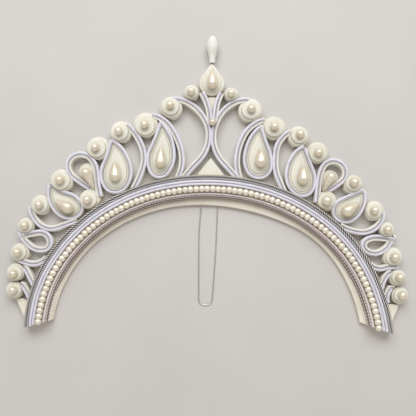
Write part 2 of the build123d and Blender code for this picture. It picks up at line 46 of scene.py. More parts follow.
# --------------------------------------------------------------------- tables
# A strip's middle line starts at (x, y) with a heading in degrees and runs on
# as tangent arcs (radius, turn), or (0, straight length).  Millimetres.
STRIPS = (
    ("crest", "L", -8.3, 63.8, 311.6, ((32.6, -22.1), (42.1, -15.5),)),
    ("crest", "R", 11.0, 63.9, 231.3, ((28.6, 30.0), (102.5, 4.4),)),
    ("rib", "L", -27.4, 55.4, 4.2, ((22.9, -36.3), (30.2, -28.9), (24.5, -36.5), (27.0, -37.2), (90.3, 10.6),)),
    ("rib", "R", 28.7, 55.3, 172.1, ((19.2, 42.9), (28.0, 34.4), (28.9, 31.6), (25.6, 31.4), (0, 17.8),)),
    ("inarch", "L", -39.9, 43.4, 347.1, ((20.5, -40.5), (51.2, -19.5), (29.6, -44.1),)),
    ("inarch", "R", 37.9, 40.9, 199.0, ((23.5, 43.7), (41.8, 21.7), (35.0, 28.4),)),
    ("outarch", "L", -58.7, 36.4, 319.3, ((40.6, -12.9), (42.3, -12.7), (23.5, -37.8), (64.3, -15.7),)),
    ("outarch", "R", 57.5, 32.8, 208.2, ((18.6, 51.7), (48.8, 13.7), (25.2, 18.2), (176.4, 3.9),)),
    ("tear1", "L", -34.4, 39.1, 256.1, ((100.3, -11.6), (19.1, 51.7), (7.1, 115.6), (20.5, 37.1), (32.9, 25.2), (34.7, 21.4),)),
    ("tear1", "R", 37.8, 37.0, 211.4, ((21.6, 27.7), (36.1, 26.6), (16.0, 39.2), (8.7, 138.0), (25.6, 29.7), (106.7, -9.8),)),
    ("tear2", "L", -69.3, 25.0, 334.9, ((22.5, -31.1), (34.3, -18.5), (17.8, -52.3), (9.0, -112.6), (17.2, -54.3), (61.9, 16.2),)),
    ("tear2", "R", 67.7, 22.7, 205.1, ((20.0, 31.8), (25.9, 32.1), (15.6, 55.2), (8.0, 100.3), (16.4, 47.6), (198.1, -5.0),)),
    ("tear3", "L", -111.8, -6.7, 254.0, ((20.4, 33.6), (19.3, 36.5), (13.0, 46.8), (7.2, 116.1), (15.9, 39.4), (26.8, -31.9),)),
    ("tear3", "R", 109.4, -8.0, 296.2, ((11.4, -30.3), (20.7, -46.2), (10.3, -56.1), (7.5, -89.2), (9.3, -49.8), (567.0, -1.8),)),
    ("bigloop", "L", -83.7, -9.3, 149.1, ((136.2, -5.9), (10.4, -43.3), (8.0, -63.7), (9.4, -85.0), (18.3, -36.8), (77.9, 12.0),)),
    ("bigloop", "R", 84.9, -8.4, 30.6, ((71.8, 9.0), (7.7, 66.5), (8.5, 74.6), (8.5, 64.7), (29.6, 16.4), (197.0, 4.9),)),
    ("scroll8", "L", -124.7, -24.0, 280.7, ((19.4, 36.3), (13.5, 66.0), (161.7, -4.8),)),
    ("scroll8", "R", 122.7, -23.5, 274.7, ((12.0, -42.5), (15.4, -57.2), (32.5, -26.2),)),
    ("loop9", "L", -131.2, -41.7, 295.8, ((25.0, 26.7), (12.4, 46.1), (5.1, 88.1), (7.2, 84.1), (13.6, 10.2), (111.3, 6.0),)),
    ("loop9", "R", 130.7, -43.4, 163.0, ((46.0, 15.0), (15.2, 24.4), (6.8, 16.9), (4.3, 101.8), (9.1, 46.2), (12.2, 50.1),)),
    ("tail10", "L", -132.3, -59.6, 331.3, ((33.6, 14.3), (12.2, 65.4),)),
    ("tail10", "R", 132.2, -61.7, 171.9, ((19.8, 25.8), (9.6, -64.8),)),
    ("tail11", "L", -126.6, -66.0, 298.8, ((0, 17.0),)),
    ("tail11", "R", 127.0, -65.7, 220.1, ((16.2, 46.6),)),
    ("tail12", "L", -128.3, -77.6, 312.1, ((31.1, -25.2),)),
    ("tail12", "R", 128.0, -76.1, 223.9, ((10.7, 62.0),)),
)
BAND = (-115.7, -110.3, 92.1, ((85.1, -35.5), (110.8, -22.2), (118.2, -23.2), (148.4, -18.9), (122.3, -32.6), (97.5, -22.6), (111.3, -23.3),))
LEDGE = (-107.1, -101.9, 82.9, ((88.6, -46.9), (111.6, -35.2), (156.2, -25.1), (76.1, -30.6), (101.1, -25.7),))
# coil, side, x, y, drum radius, pearl dx, pearl dy, pearl radius
COILS = (
    (0, "L", -13.0, 60.6, 5.6, -0.1, -0.8, 2.8),
    (0, "R", 15.7, 59.5, 5.3, -0.3, -0.4, 2.7),
    (1, "L", -27.2, 49.4, 7.9, -0.6, 0.4, 2.6),
    (1, "R", 29.1, 48.3, 8.5, 0.6, -0.1, 2.7),
    (2, "L", -45.2, 36.7, 9.0, -0.3, -1.1, 2.7),
    (2, "R", 46.4, 35.5, 8.5, -0.4, -0.0, 2.7),
    (3, "L", -62.6, 31.4, 7.7, -1.0, -0.7, 2.7),
    (3, "R", 63.5, 29.6, 7.4, 0.7, 0.8, 2.7),
    (4, "L", -78.3, 19.3, 8.3, -1.5, -0.5, 2.7),
    (4, "R", 77.4, 18.2, 7.8, -0.3, -0.8, 2.7),
    (5, "L", -83.5, -17.0, 7.3, -0.6, -1.3, 2.9),
    (5, "R", 83.7, -16.0, 7.3, -1.1, -0.6, 3.3),
    (6, "L", -103.8, -4.4, 8.3, 0.0, -0.1, 2.9),
    (6, "R", 102.5, -4.7, 7.0, -0.7, 1.4, 2.9),
    (8, "L", -118.3, -21.7, 7.0, 0.7, -0.5, 2.6),
    (8, "R", 117.5, -22.7, 7.0, -1.7, -0.1, 2.7),
    (9, "L", -127.6, -36.7, 5.9, 0.5, 0.1, 2.6),
    (9, "R", 125.8, -35.9, 5.5, -1.1, -0.2, 2.6),
    (10, "L", -131.0, -55.3, 6.6, -0.2, 0.1, 2.7),
    (10, "R", 129.7, -55.1, 7.0, -0.3, 0.1, 2.9),
    (11, "L", -133.7, -68.9, 6.3, 0.3, -1.0, 2.6),
    (11, "R", 132.7, -69.4, 5.9, -0.0, 0.6, 2.7),
    (12, "L", -134.1, -81.4, 6.1, 1.0, 0.2, 2.6),
    (12, "R", 134.2, -81.4, 6.0, -0.0, 0.4, 2.7),
)
# pad, side, fat x, fat y, fat radius, tip x, tip y, tip radius
PADS = (
    ("apex", "C", 1.5, 67.7, 9.2, 1.4, 81.4, 1.4),
    ("loop", "L", -85.8, 2.6, 5.7, -81.6, -9.2, 2.6),
    ("loop", "R", 85.9, 0.0, 5.7, 83.1, -8.4, 2.6),
)
SCROLLS = (
    ("centre_ribs", "rib", 1),
    ("inner_teardrops", "tear1", None),
    ("outer_teardrops", "tear2", 4),
    ("side_teardrops", "tear3", 6),
    ("inner_arches", "inarch", 2),
    ("outer_arches", "outarch", 3),
    ("crest_scrolls", "crest", 0),
    ("large_loops", "bigloop", 5),
    ("wave_scrolls", "scroll8", 8),
    ("small_loops", "loop9", 9),
    ("upper_tails", "tail10", 10),
    ("lower_tails", "tail11", 11),
    ("lower_tails", "tail12", 12),
)
# side of the strip with the plain cream rim: 1 is its left; left and right scroll
RIM_SIDE = {
    "crest": (-1, 1), "rib": (-1, 1), "inarch": (-1, 1), "outarch": (-1, 1),
    "tear1": (1, 1), "tear2": (-1, 1), "tear3": (1, -1), "bigloop": (-1, 1),
    "scroll8": (1, -1), "loop9": (1, 1), "tail10": (1, -1), "tail11": (1, -1), "tail12": (1, -1),
}
BAND_ENDS = (((-124.2, -106.2), (-105.9, -100.9)), ((125.8, -106.6), (106.1, -100.0)))
BASE_T, BAND_TOP, BAND_OUT, BAND_IN, BAND_FOOT = 3.0, 8.0, 9.8, 4.6, 5.5
STRIP_H, STRIP_W, RING_W = 7.0, 4.4, 2.9
DRUM_H, COIL_TOP, COIL_STEP = 6.5, 9.0, 0.78
PAD_H, PAD_TOP = 5.0, 6.8
SEED_COUNT, SEED_FROM, SEED_TO, SEED_AT = 86, 8.08, 337.68, -0.5
SEED_ALONG, SEED_ACROSS, SEED_UP = 2.20, 2.32, 2.0     # half axes of a seed pearl


# --------------------------------------------------------------- plan curves
class Path:
    """A path of tangent arcs, sampled finely, read by its length."""

    def __init__(self, x, y, heading, arcs, step=0.25):
        xs, ys, hs, ss = [x], [y], [radians(heading)], [0.0]
        h, s = radians(heading), 0.0
        for radius, turn in arcs:
            run = turn if radius == 0 else radius * radians(abs(turn))
            n = max(2, int(run / step))
            dh = 0 if radius == 0 else radians(turn) / n
            for _ in range(n):
                chord = run / n if radius == 0 else 2 * radius * sin(abs(dh) / 2)
                x += chord * cos(h + dh / 2)
                y += chord * sin(h + dh / 2)
                h += dh
                s += run / n
                xs.append(x), ys.append(y), hs.append(h), ss.append(s)
        self.x, self.y, self.h, self.s = map(np.array, (xs, ys, hs, ss))
        self.length = s

    def at(self, s, side=0.0):
        x, y = np.interp(s, self.s, self.x), np.interp(s, self.s, self.y)
        h = np.interp(s, self.s, self.h)
        return x - side * np.sin(h), y + side * np.cos(h), h

    def wind_in(self, x, y, r, run=1.5):
        """Lead the path's start back round a coil, closing in on its middle."""
        ax, ay, h = self.x[0] - x, self.y[0] - y, self.h[0]
        d0, a = hypot(ax, ay), math.atan2(ay, ax)
        turn = 1 if ax * sin(h) - ay * cos(h) > 0 else -1
        rate = max(-0.5, min(0.5, (ax * cos(h) + ay * sin(h)) / d0))
        d1 = max(1.2, min(d0, r) - 0.5 * run)
        n = int(run / 0.25)
        xs, ys, hs = [], [], []
        for k in range(1, n + 1):
            t = k / n
            u = 2 * t**3 - 3 * t**2 + 1
            d = d0 * u - rate * run * (t**3 - 2 * t**2 + t) + d1 * (1 - u)
            a -= turn * (run / n) / max(d, 1.0)
            xs.append(x + d * cos(a)), ys.append(y + d * sin(a))
        px = np.array(xs[::-1] + [self.x[0]])
        py = np.array(ys[::-1] + [self.y[0]])
        hh = np.unwrap(np.r_[np.arctan2(np.diff(py), np.diff(px)), h])
        hh += h - hh[-1]
        self.x, self.y = np.r_[px[:-1], self.x], np.r_[py[:-1], self.y]
        self.h = np.r_[hh[:-1], self.h]
        self.s = np.r_[np.linspace(-run, 0, n, endpoint=False), self.s]
        return self

    def stretched(self, head=0.0, tail=0.0):
        """Run on straight at the two ends; a negative head starts further on."""
        if head < 0:
            k = self.s >= -head
            self.x, self.y, self.h, self.s = self.x[k], self.y[k], self.h[k], self.s[k]
            head = 0
        if head:
            h = self.h[0]
            k = np.arange(int(head / 0.25), 0, -1) * 0.25
            self.x, self.y = np.r_[self.x[0] - k * cos(h), self.x], np.r_[self.y[0] - k * sin(h), self.y]
            self.h, self.s = np.r_[np.full(len(k), h), self.h], np.r_[self.s[0] - k, self.s]
        if tail:
            h = self.h[-1]
            k = np.arange(1, int(tail / 0.25) + 1) * 0.25
            self.x, self.y = np.r_[self.x, self.x[-1] + k * cos(h)], np.r_[self.y, self.y[-1] + k * sin(h)]
            self.h, self.s = np.r_[self.h, np.full(len(k), h)], np.r_[self.s, self.s[-1] + k]
        return self

    def distance(self, px, py):
        """Signed distance of a point, positive to the left of the path."""
        d = (self.x - px) ** 2 + (self.y - py) ** 2
        i = int(d.argmin())
        left = -(px - self.x[i]) * sin(self.h[i]) + (py - self.y[i]) * cos(self.h[i])
        return math.copysign(math.sqrt(d[i]), left)


BAND_PATH, LEDGE_PATH = Path(*BAND), Path(*LEDGE)


def end_span(path, side=0.0):
    """Where a parallel of the path meets the oblique ends of the band."""
    x, y, _ = path.at(path.s, side)
    spans = []
    for k, ((x0, y0), (x1, y1)) in enumerate(BAND_ENDS):
        d = (x1 - x0) * (y - y0) - (y1 - y0) * (x - x0)
        d *= 1 if k == 0 else -1
        half = path.s < path.length / 2 if k == 0 else path.s > path.length / 2
        out = path.s[(d < 0) & half]
        if k == 0:
            spans.append(out.max() if len(out) else 0.0)
        else:
            spans.append(out.min() if len(out) else path.length)
    return spans


def strip(name, side):
    return next(row[2:] for row in STRIPS if row[:2] == (name, side))


def coil(number, side):
    return next(row[2:] for row in COILS if row[:2] == (number, side))


# ------------------------------------------------------------------ materials
def material(name):
    m = bpy.data.materials.new(name)
    m.use_nodes = True
    nt = m.node_tree
    nt.nodes.clear()
    out = nt.nodes.new("ShaderNodeOutputMaterial")
    bsdf = nt.nodes.new("ShaderNodeBsdfPrincipled")
    nt.links.new(bsdf.outputs[0], out.inputs[0])
    return m, nt, bsdf


def node(nt, kind, **values):
    n = nt.nodes.new(kind)
    for key, value in values.items():
        if key in n.inputs.keys():
            n.inputs[key].default_value = value
        else:
            setattr(n, key, value)
    return n


def ramp(nt, source, stops):
    r = nt.nodes.new("ShaderNodeValToRGB")
    while len(r.color_ramp.elements) < len(stops):
        r.color_ramp.elements.new(0.5)
    for e, (at, colour) in zip(r.color_ramp.elements, stops):
        e.position, e.color = at, (*colour, 1)
    nt.links.new(source, r.inputs[0])
    return r.outputs[0]


def mix(nt, factor, a, b, blend="MIX"):
    m = nt.nodes.new("ShaderNodeMix")
    m.data_type, m.blend_type = "RGBA", blend
    for socket, value in ((m.inputs[0], factor), (m.inputs[6], a), (m.inputs[7], b)):
        if isinstance(value, (int, float)):
            socket.default_value = value
        elif isinstance(value, tuple):
            socket.default_value = (*value, 1)
        else:
            nt.links.new(value, socket)
    return m.outputs[2]


def bump(nt, bsdf, heights, distance, strength=1.0):
    """Chain height outputs into the normal."""
    last = None
    for h, d in zip(heights, distance):
        b = node(nt, "ShaderNodeBump", Strength=strength, Distance=d)
        nt.links.new(h, b.inputs["Height"])
        if last is not None:
            nt.links.new(last, b.inputs["Normal"])
        last = b.outputs[0]
    nt.links.new(last, bsdf.inputs["Normal"])


def obj_coords(nt):
    return nt.nodes.new("ShaderNodeTexCoord").outputs["Object"]


def uv_coords(nt):
    return nt.nodes.new("ShaderNodeTexCoord").outputs["UV"]


def noise_of(nt, vector, scale, detail=3.0, rough=0.55):
    n = node(nt, "ShaderNodeTexNoise", Scale=scale, Detail=detail, Roughness=rough)
    nt.links.new(vector, n.inputs["Vector"])
    return n.outputs["Fac"]


def scaled(nt, vector, x, y, z):
    m = nt.nodes.new("ShaderNodeMapping")
    m.inputs["Scale"].default_value = (x, y, z)
    nt.links.new(vector, m.inputs["Vector"])
    return m.outputs[0]


def shola(name, light, dark, edge):
    """Carved pith: matte cream, faint fibres and pores, with painted shade: a tan tint darkens hollows and corners.
    """
    m, nt, b = material(name)
    at = obj_coords(nt)
    broad = noise_of(nt, at, 60.0, 3.0)
    fine = noise_of(nt, at, 900.0, 4.0, 0.6)
    fibre = noise_of(nt, scaled(nt, at, 260.0, 260.0, 2200.0), 1.0, 2.0)
    base = ramp(nt, broad, ((0.30, dark), (0.62, light)))
    specks = ramp(nt, fine, ((0.30, edge), (0.46, (1, 1, 1))))
    colour = mix(nt, 0.30, base, specks, "MULTIPLY")
    # painted shade: ambient occlusion darkens the colour towards tan in hollows, creases and where parts meet
    ao = node(nt, "ShaderNodeAmbientOcclusion", Distance=0.0035)
    ao.samples = 6
    painted_shade = ramp(nt, ao.outputs["AO"], ((0.25, (0.52, 0.44, 0.33)), (0.85, (1, 1, 1))))
    colour = mix(nt, 0.66, colour, painted_shade, "MULTIPLY")
    nt.links.new(colour, b.inputs["Base Color"])
    b.inputs["Roughness"].default_value = 0.82
    b.inputs["Subsurface Weight"].default_value = 0.12
    b.inputs["Subsurface Radius"].default_value = (1.0, 0.85, 0.6)
    b.inputs["Subsurface Scale"].default_value = 0.0012
    b.inputs["Specular IOR Level"].default_value = 0.28
    dents = noise_of(nt, at, 330.0, 2.0)
    bump(nt, b, (fine, fibre, dents), (0.00009, 0.00010, 0.00022), 0.8)
    return m


def thread(name, stops, turns, slant=1.0, rough=0.45, depth=0.00008, sheen=0.25, spec=0.45, shade_in=0.5):
    """Wound or twisted thread: fine slanting winds round the cord, from its UV."""
    m, nt, b = material(name)
    uv = uv_coords(nt)
    sep = nt.nodes.new("ShaderNodeSeparateXYZ")
    nt.links.new(uv, sep.inputs[0])
    a = node(nt, "ShaderNodeMath", operation="MULTIPLY")
    a.inputs[1].default_value = turns
    nt.links.new(sep.outputs[0], a.inputs[0])
    c = node(nt, "ShaderNodeMath", operation="MULTIPLY_ADD")
    nt.links.new(sep.outputs[1], c.inputs[0])
    c.inputs[1].default_value = slant
    nt.links.new(a.outputs[0], c.inputs[2])
    f = node(nt, "ShaderNodeMath", operation="FRACT")
    nt.links.new(c.outputs[0], f.inputs[0])
    p = node(nt, "ShaderNodeMath", operation="PINGPONG")
    p.inputs[1].default_value = 0.5
    nt.links.new(f.outputs[0], p.inputs[0])
    d = node(nt, "ShaderNodeMath", operation="MULTIPLY")
    d.inputs[1].default_value = 2.0
    nt.links.new(p.outputs[0], d.inputs[0])
    wave = d.outputs[0]
    at = obj_coords(nt)
    patch = noise_of(nt, at, 220.0, 3.0)
    colour = ramp(nt, wave, stops)
    shade = ramp(nt, patch, ((0.30, (0.86, 0.85, 0.87)), (0.65, (1, 1, 1))))
    colour = mix(nt, 0.8, colour, shade, "MULTIPLY")
    # painted shade: ambient occlusion darkens the colour towards grey-violet in crevices beside and between cords;
    # shade_in sets how much
    ao = node(nt, "ShaderNodeAmbientOcclusion", Distance=0.0012)
    ao.samples = 6
    painted_shade = ramp(nt, ao.outputs["AO"], ((0.30, (0.46, 0.42, 0.47)), (0.88, (1, 1, 1))))
    colour = mix(nt, shade_in, colour, painted_shade, "MULTIPLY")
    nt.links.new(colour, b.inputs["Base Color"])
    b.inputs["Roughness"].default_value = rough
    b.inputs["Specular IOR Level"].default_value = spec
    b.inputs["Sheen Weight"].default_value = sheen
    b.inputs["Sheen Roughness"].default_value = 0.4
    fine = noise_of(nt, at, 2500.0, 2.0)
    bump(nt, b, (wave, fine), (depth, 0.00003), 1.0)
    return m


def pearl(name, body, low, tint, painted_bead_shade):
    """Pearl bead: cream nacre under a clear coat, with tan shade painted where beads shade each other."""
    m, nt, b = material(name)
    at = obj_coords(nt)
    cloud = noise_of(nt, at, 170.0, 2.0)
    base = ramp(nt, cloud, ((0.25, low), (0.52, tint), (0.78, body)))
    # painted shade: ambient occlusion darkens the colour towards the tan shade colour passed in, between beads and
    # where a pearl sits in its setting
    ao = node(nt, "ShaderNodeAmbientOcclusion", Distance=0.0030)
    ao.samples = 8
    painted_shade = ramp(nt, ao.outputs["AO"], ((0.30, painted_bead_shade), (0.90, (1, 1, 1))))
    colour = mix(nt, 0.75, base, painted_shade, "MULTIPLY")
    nt.links.new(colour, b.inputs["Base Color"])
    b.inputs["Roughness"].default_value = 0.32
    b.inputs["Metallic"].default_value = 0.36
    b.inputs["Specular IOR Level"].default_value = 0.8
    b.inputs["Coat Weight"].default_value = 1.0
    b.inputs["Coat IOR"].default_value = 1.6
    b.inputs["Coat Tint"].default_value = (0.984, 0.960, 0.912, 1.0)
    b.inputs["Coat Roughness"].default_value = 0.16
    b.inputs["Subsurface Weight"].default_value = 0.08
    b.inputs["Subsurface Radius"].default_value = (1.0, 0.8, 0.55)
    b.inputs["Subsurface Scale"].default_value = 0.0015
    bump(nt, b, (noise_of(nt, at, 420.0, 2.0),), (0.00004,), 0.5)
    return m


def steel(name):
    m, nt, b = material(name)
    at = obj_coords(nt)
    drawn = noise_of(nt, scaled(nt, at, 4000.0, 120.0, 4000.0), 1.0, 2.0)
    colour = ramp(nt, drawn, ((0.3, (0.58, 0.56, 0.55)), (0.7, (0.80, 0.78, 0.76))))
    nt.links.new(colour, b.inputs["Base Color"])
    b.inputs["Metallic"].default_value = 1.0
    b.inputs["Roughness"].default_value = 0.32
    bump(nt, b, (drawn,), (0.00002,), 0.6)
    return m


CREAM = shola("shola_cream", (0.835, 0.82, 0.725), (0.755, 0.735, 0.63), (0.67, 0.63, 0.53))
WHITE = shola("shola_white", (0.84, 0.83, 0.79), (0.77, 0.76, 0.71), (0.74, 0.72, 0.66))
RIM = shola("shola_rim", (0.86, 0.84, 0.79), (0.76, 0.74, 0.69), (0.60, 0.57, 0.52))
CARD = shola("shola_card", (0.91, 0.87, 0.76), (0.84, 0.79, 0.67), (0.76, 0.70, 0.58))
LAVENDER = thread(
    "lavender_thread",
    ((0.0, (0.68, 0.66, 0.74)), (0.45, (0.79, 0.78, 0.86)), (1.0, (0.88, 0.87, 0.94))),
    turns=2.6,
    slant=1.0,
    rough=0.36,
    depth=0.00005,
    shade_in=0.55,
)
ROSE = thread(
    "rose_thread",
    ((0.0, (0.74, 0.64, 0.64)), (0.5, (0.88, 0.80, 0.80)), (1.0, (0.96, 0.91, 0.90))),
    turns=2.6,
    slant=1.0,
    rough=0.38,
    depth=0.00005,
)
SILVER = thread(
    "silver_thread",
    ((0.0, (0.56, 0.54, 0.56)), (0.35, (0.80, 0.79, 0.80)), (1.0, (0.95, 0.94, 0.95))),
    turns=3.0,
    slant=1.0,
    rough=0.30,
    depth=0.00006,
    sheen=0.1,
    spec=0.7,
    shade_in=0.3,
)
CREAM_THREAD = thread(
    "cream_thread",
    ((0.0, (0.82, 0.78, 0.71)), (0.4, (0.93, 0.90, 0.84)), (1.0, (0.96, 0.95, 0.92))),
    turns=3.0,
    slant=1.0,
    rough=0.45,
    depth=0.00004,
    shade_in=0.1,
)
DARK_THREAD = thread(
    "dark_thread",
    ((0.0, (0.016, 0.011, 0.009)), (0.5, (0.045, 0.034, 0.028)), (1.0, (0.11, 0.085, 0.07))),
    turns=3.0,
    slant=1.0,
    rough=0.4,
    depth=0.00005,
    sheen=0.1,
)
MAUVE = thread(
    "mauve_thread",
    ((0.0, (0.26, 0.18, 0.16)), (0.30, (0.60, 0.50, 0.49)), (1.0, (0.92, 0.87, 0.87))),
    turns=0.45,
    slant=1.0,
    rough=0.45,
    depth=0.00012,
    shade_in=0.3,
)
BROWN = thread(
    "brown_thread",
    ((0.0, (0.09, 0.055, 0.04)), (0.45, (0.22, 0.15, 0.115)), (1.0, (0.42, 0.32, 0.28))),
    turns=0.6,
    slant=1.0,
    rough=0.5,
    depth=0.00010,
    shade_in=0.3,
)
# the last colour of each pearl is the painted shade between beads
PEARL = pearl("pearl", (0.93, 0.89, 0.79), (0.78, 0.69, 0.53), (0.87, 0.81, 0.68), (0.46, 0.30, 0.14))
SEED = pearl("seed_pearl", (0.95, 0.93, 0.87), (0.88, 0.82, 0.71), (0.92, 0.88, 0.79), (0.88, 0.79, 0.66))
WIRE = steel("hairpin_steel")


# ------------------------------------------------------------- mesh utilities
class Build:
    """Collects vertices, faces, UVs and material numbers for one piece."""

    def __init__(self, *mats):
        self.v, self.f, self.uv, self.m, self.mats = [], [], [], [], mats

    def grid(self, rows, uvs, mat=0, closed=True, caps=(False, False)):
        """rows: (n, k, 3) points; uvs: (n, k+closed, 2)."""
        rows = np.asarray(rows, float)
        n, k = rows.shape[:2]
        base = len(self.v)
        self.v.extend(map(tuple, rows.reshape(-1, 3)))
        kk = k if closed else k - 1
        for i in range(n - 1):
            for j in range(kk):
                j2 = (j + 1) % k
                self.f.append(
                    (base + i * k + j, base + i * k + j2, base + (i + 1) * k + j2, base + (i + 1) * k + j)
                )
                a, b = uvs[i][j], uvs[i][j + 1]
                c, d = uvs[i + 1][j + 1], uvs[i + 1][j]
                self.uv.extend((tuple(a), tuple(b), tuple(c), tuple(d)))
                self.m.append(mat)
        for at, flip in ((0, True), (n - 1, False)):
            if caps[0 if at == 0 else 1]:
                ring = [base + at * k + j for j in range(k)]
                if flip:
                    ring.reverse()
                self.f.append(tuple(ring))
                self.uv.extend([tuple(uvs[at][j]) for j in range(k)])
                self.m.append(mat)

    def fan(self, ring, centre, uv, mat=0):
        """Close a ring of vertex numbers with triangles to a middle point."""
        c = len(self.v)
        self.v.append(tuple(centre))
        for j, a in enumerate(ring):
            self.f.append((a, ring[(j + 1) % len(ring)], c))
            self.uv.extend([uv, uv, uv])
            self.m.append(mat)

    def object(self, name, node_name=None, slot=None, smooth=True, angle=40):
        mesh = bpy.data.meshes.new(name)
        mesh.from_pydata([(a * MM, (b + SHIFT) * MM, c * MM) for a, b, c in self.v], [], self.f)
        layer = mesh.uv_layers.new(name="UVMap")
        layer.data.foreach_set("uv", np.array(self.uv, np.float32).ravel())
        for mat in self.mats:
            mesh.materials.append(mat)
        mesh.polygons.foreach_set("material_index", self.m)
        mesh.validate()
        bm = bmesh.new()
        bm.from_mesh(mesh)
        bmesh.ops.recalc_face_normals(bm, faces=bm.faces)
        bm.to_mesh(mesh)
        bm.free()
        if smooth:
            mesh.shade_smooth()
            mesh.set_sharp_from_angle(angle=radians(angle))
        o = bpy.data.objects.new(name, mesh)
        bpy.context.scene.collection.objects.link(o)
        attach(o, "root")
        if node_name:
            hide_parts(*([node_name] if isinstance(node_name, str) else node_name))
        return o


def swept(build, path, s0, s1, profile, mat=0, step=0.7, wobble=0.0, seed=0, caps=(True, True), drop=None):
    """Sweep a closed profile of (offset to the left, z) along a path."""
    n = max(3, int(abs(s1 - s0) / step) + 1)
    ss = np.linspace(s0, s1, n)
    prof = np.asarray(profile, float)
    k = len(prof)
    around = np.r_[0, np.cumsum(np.hypot(*(np.roll(prof, -1, 0) - prof).T))]
    x, y, h = path.at(ss)
    rows = np.zeros((n, k, 3))
    for j, (side, z) in enumerate(prof):
        dw = np.array([noise.noise(Vector((s * 0.11, seed * 3.1, 0.3))) for s in ss]) * wobble
        dz = np.array([noise.noise(Vector((s * 0.13, seed * 5.7, 9.1))) for s in ss]) * wobble * 0.6
        rows[:, j, 0] = x - (side + dw) * np.sin(h)
        rows[:, j, 1] = y + (side + dw) * np.cos(h)
        rows[:, j, 2] = z if z < 0.3 else z + dz - (drop(ss) if drop else 0.0)
    uvs = np.zeros((n, k + 1, 2))
    uvs[:, :, 0] = ss[:, None]
    uvs[:, :, 1] = around[None, :] / around[-1]
    build.grid(rows, uvs, mat, True, caps)


def tube(build, points, radius, mat=0, sides=8, v0=0.0, twist=0.0, caps=(True, True)):
    """Round tube through 3-D points; UV runs in mm along it and 0 to 1 around."""
    p = np.asarray(points, float)
    n = len(p)
    t = np.gradient(p, axis=0)
    t /= np.linalg.norm(t, axis=1)[:, None]
    up = np.array((0.0, 0.0, 1.0))
    a = np.cross(t, up)
    ln = np.linalg.norm(a, axis=1)
    a[ln < 1e-6] = (1, 0, 0)
    a /= np.linalg.norm(a, axis=1)[:, None]
    b = np.cross(a, t)
    s = np.r_[0, np.cumsum(np.linalg.norm(np.diff(p, axis=0), axis=1))]
    r = np.broadcast_to(np.asarray(radius, float), (n,))
    rows = np.zeros((n, sides, 3))
    for j in range(sides):
        ang = 2 * pi * j / sides
        rows[:, j] = p + r[:, None] * (cos(ang) * a + sin(ang) * b)
    uvs = np.zeros((n, sides + 1, 2))
    uvs[:, :, 0] = s[:, None] + v0
    uvs[:, :, 1] = np.linspace(0, 1, sides + 1)[None, :]
    build.grid(rows, uvs, mat, True, caps)


def rope(build, path, s0, s1, side, z, strands, pitch, per_turn=8, sides=5, drop=None):
    """Twisted rope: strands are (material, phase, distance from the line, radius)."""
    n = int(abs(s1 - s0) / pitch * per_turn) + 1
    if n < 6:
        return
    ss = np.linspace(s0, s1, n)
    low = drop(ss) if drop else 0.0
    x, y, h = path.at(ss, side)
    for mat, phase, away, thick in strands:
        ang = 2 * pi * (ss / pitch) + phase
        o = away * np.cos(ang)
        pts = np.c_[x - o * np.sin(h), y + o * np.cos(h), z - low + away * np.sin(ang)]
        tube(build, pts, thick, mat, sides)


def rounded(points, radii, n=4):
    """Closed profile with rounded corners."""
    out, m = [], len(points)
    for i, (p, r) in enumerate(zip(points, radii)):
        if r <= 0:
            out.append(p)
            continue
        a, b = Vector(points[i - 1]), Vector(points[(i + 1) % m])
        q = Vector(p)
        u, w = (a - q).normalized(), (b - q).normalized()
        half = math.acos(max(-1, min(1, u.dot(w)))) / 2
        d = r / math.tan(half)
        c = q + (u + w).normalized() * (r / sin(half))
        p0, p1 = q + u * d, q + w * d
        a0, a1 = math.atan2(*(p0 - c).yx), math.atan2(*(p1 - c).yx)
        da = (a1 - a0 + pi) % (2 * pi) - pi
        for k in range(n + 1):
            ang = a0 + da * k / n
            out.append((c.x + r * cos(ang), c.y + r * sin(ang)))
    return out


# -------------------------------------------------------------------- scrolls
CORD_R = 1.06
CORD_Z = STRIP_H - CORD_R


def visible_spans(path):
    """Stretches of the strip outside the band, and a little way under its edge."""
    ok = [i for i in range(len(path.s)) if BAND_PATH.distance(path.x[i], path.y[i]) > BAND_OUT - 1.6]
    runs, start = [], ok[0]
    for a, b in zip(ok, ok[1:] + [None]):
        if b is None or b != a + 1:
            if path.s[a] - path.s[start] > 1.5:
                runs.append((path.s[start], path.s[a]))
            start = b
    return runs


def eased(ss, head, tail):
    """0.3 at the two ends, rising to 1 over the lengths head and tail."""
    f = np.ones(len(ss))
    for run, d in ((head, ss - ss[0]), (tail, ss[-1] - ss)):
        if run > 0:
            t = np.clip(d / run, 0, 1)
            f = np.minimum(f, 0.3 + 0.7 * np.sin(t * pi / 2))
    return f


# lengths that free strip ends are run on by in the look: start, end
RUN_ON = {("crest", "L"): (-3.8, 3.0), ("crest", "R"): (-4.2, 3.5), ("loop9", "R"): (0, 5.2)}


